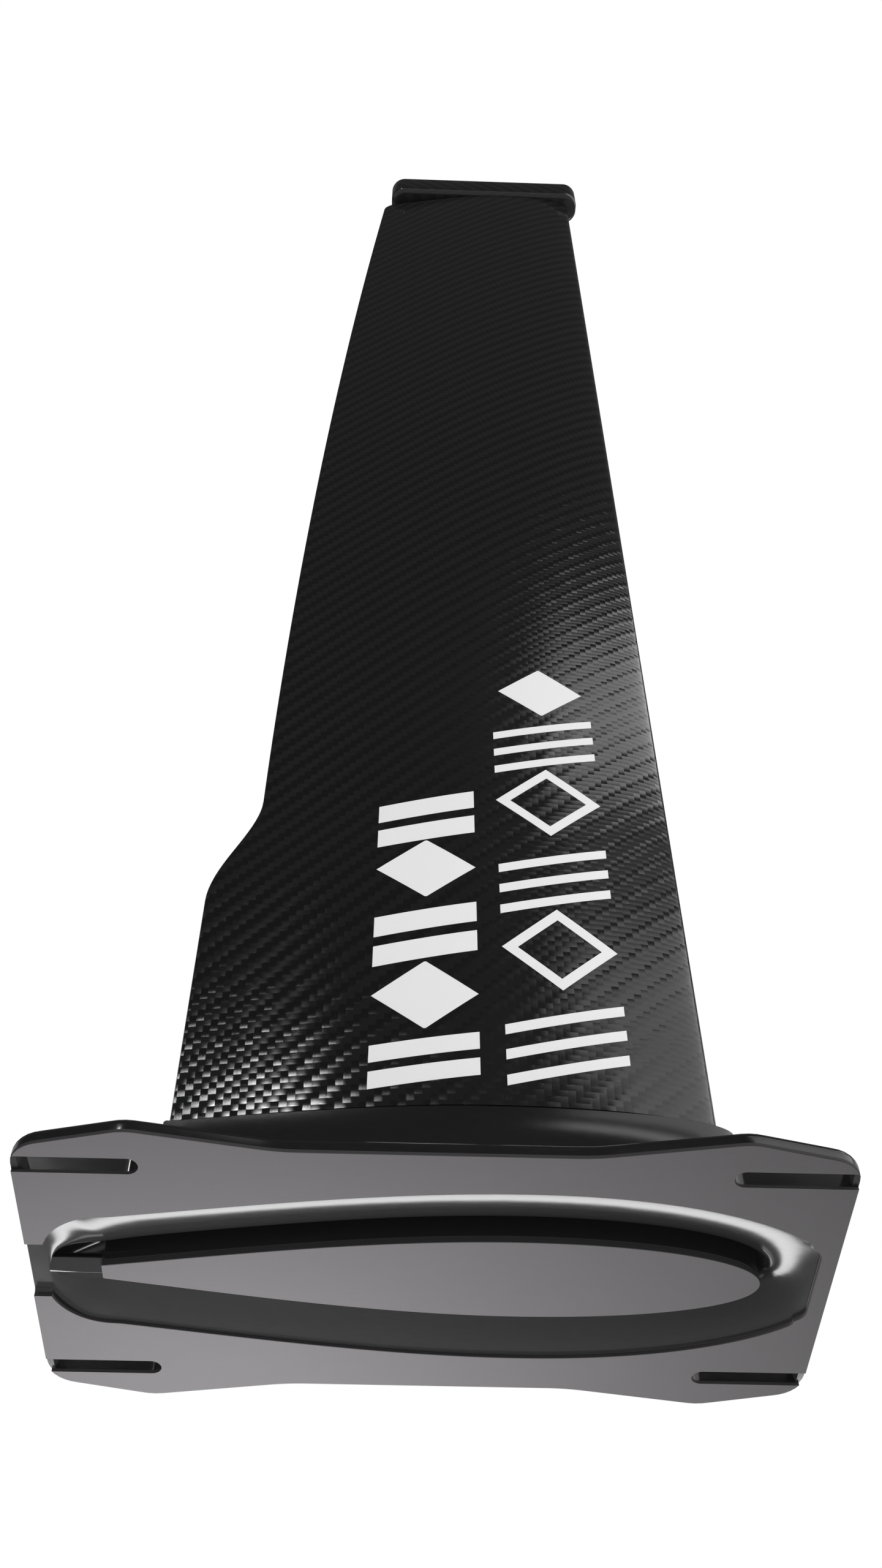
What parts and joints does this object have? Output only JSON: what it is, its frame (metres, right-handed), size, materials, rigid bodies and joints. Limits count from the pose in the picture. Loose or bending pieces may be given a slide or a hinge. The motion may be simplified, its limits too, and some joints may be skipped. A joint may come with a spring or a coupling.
{
  "type": "hydrofoil mast with board plate",
  "caption": "Swept carbon-twill hydrofoil mast with a slotted dog-bone board plate, flared root, open trough round the mast end, and a fuselage foot at the tip.",
  "frame": {"origin": "centre of the plate's board-side face", "axes": "+X along the chord towards the leading edge, -Y the port side, +Z along the mast from the board to the fuselage foot"},
  "size_m": [0.22, 0.1172, 0.85],
  "materials": {
    "carbon_twill": "clear-coated 2x2 twill carbon fibre",
    "gloss_black": "smooth gloss black moulding",
    "face_sheet": "satin grey sheet with a fine crosswise texture",
    "unidirectional_carbon": "unidirectional carbon laminate",
    "solid_laminate": "solid carbon laminate",
    "core_foam": "closed-cell structural foam",
    "stainless_steel": "machined stainless steel"
  },
  "bodies": {
    "root": {"plate_face_sheet": "face_sheet", "top_plate": "gloss_black", "root_fairing_port": "gloss_black", "root_fairing_starboard": "gloss_black", "core_face_sheet": "face_sheet", "root_plug": "solid_laminate", "mast_skin_port": "carbon_twill", "mast_skin_starboard": "carbon_twill", "leading_edge_strip": "solid_laminate", "trailing_edge_strip": "solid_laminate", "spar_cap_port": "unidirectional_carbon", "spar_cap_starboard": "unidirectional_carbon", "shear_web_front": "unidirectional_carbon", "shear_web_rear": "unidirectional_carbon", "foam_core_nose": "core_foam", "foam_core_centre": "core_foam", "foam_core_tail": "core_foam", "tip_block": "solid_laminate", "foot_bar": "carbon_twill", "foot_insert_front": "stainless_steel", "foot_insert_middle": "stainless_steel", "foot_insert_rear": "stainless_steel"}
  },
  "joints": []
}
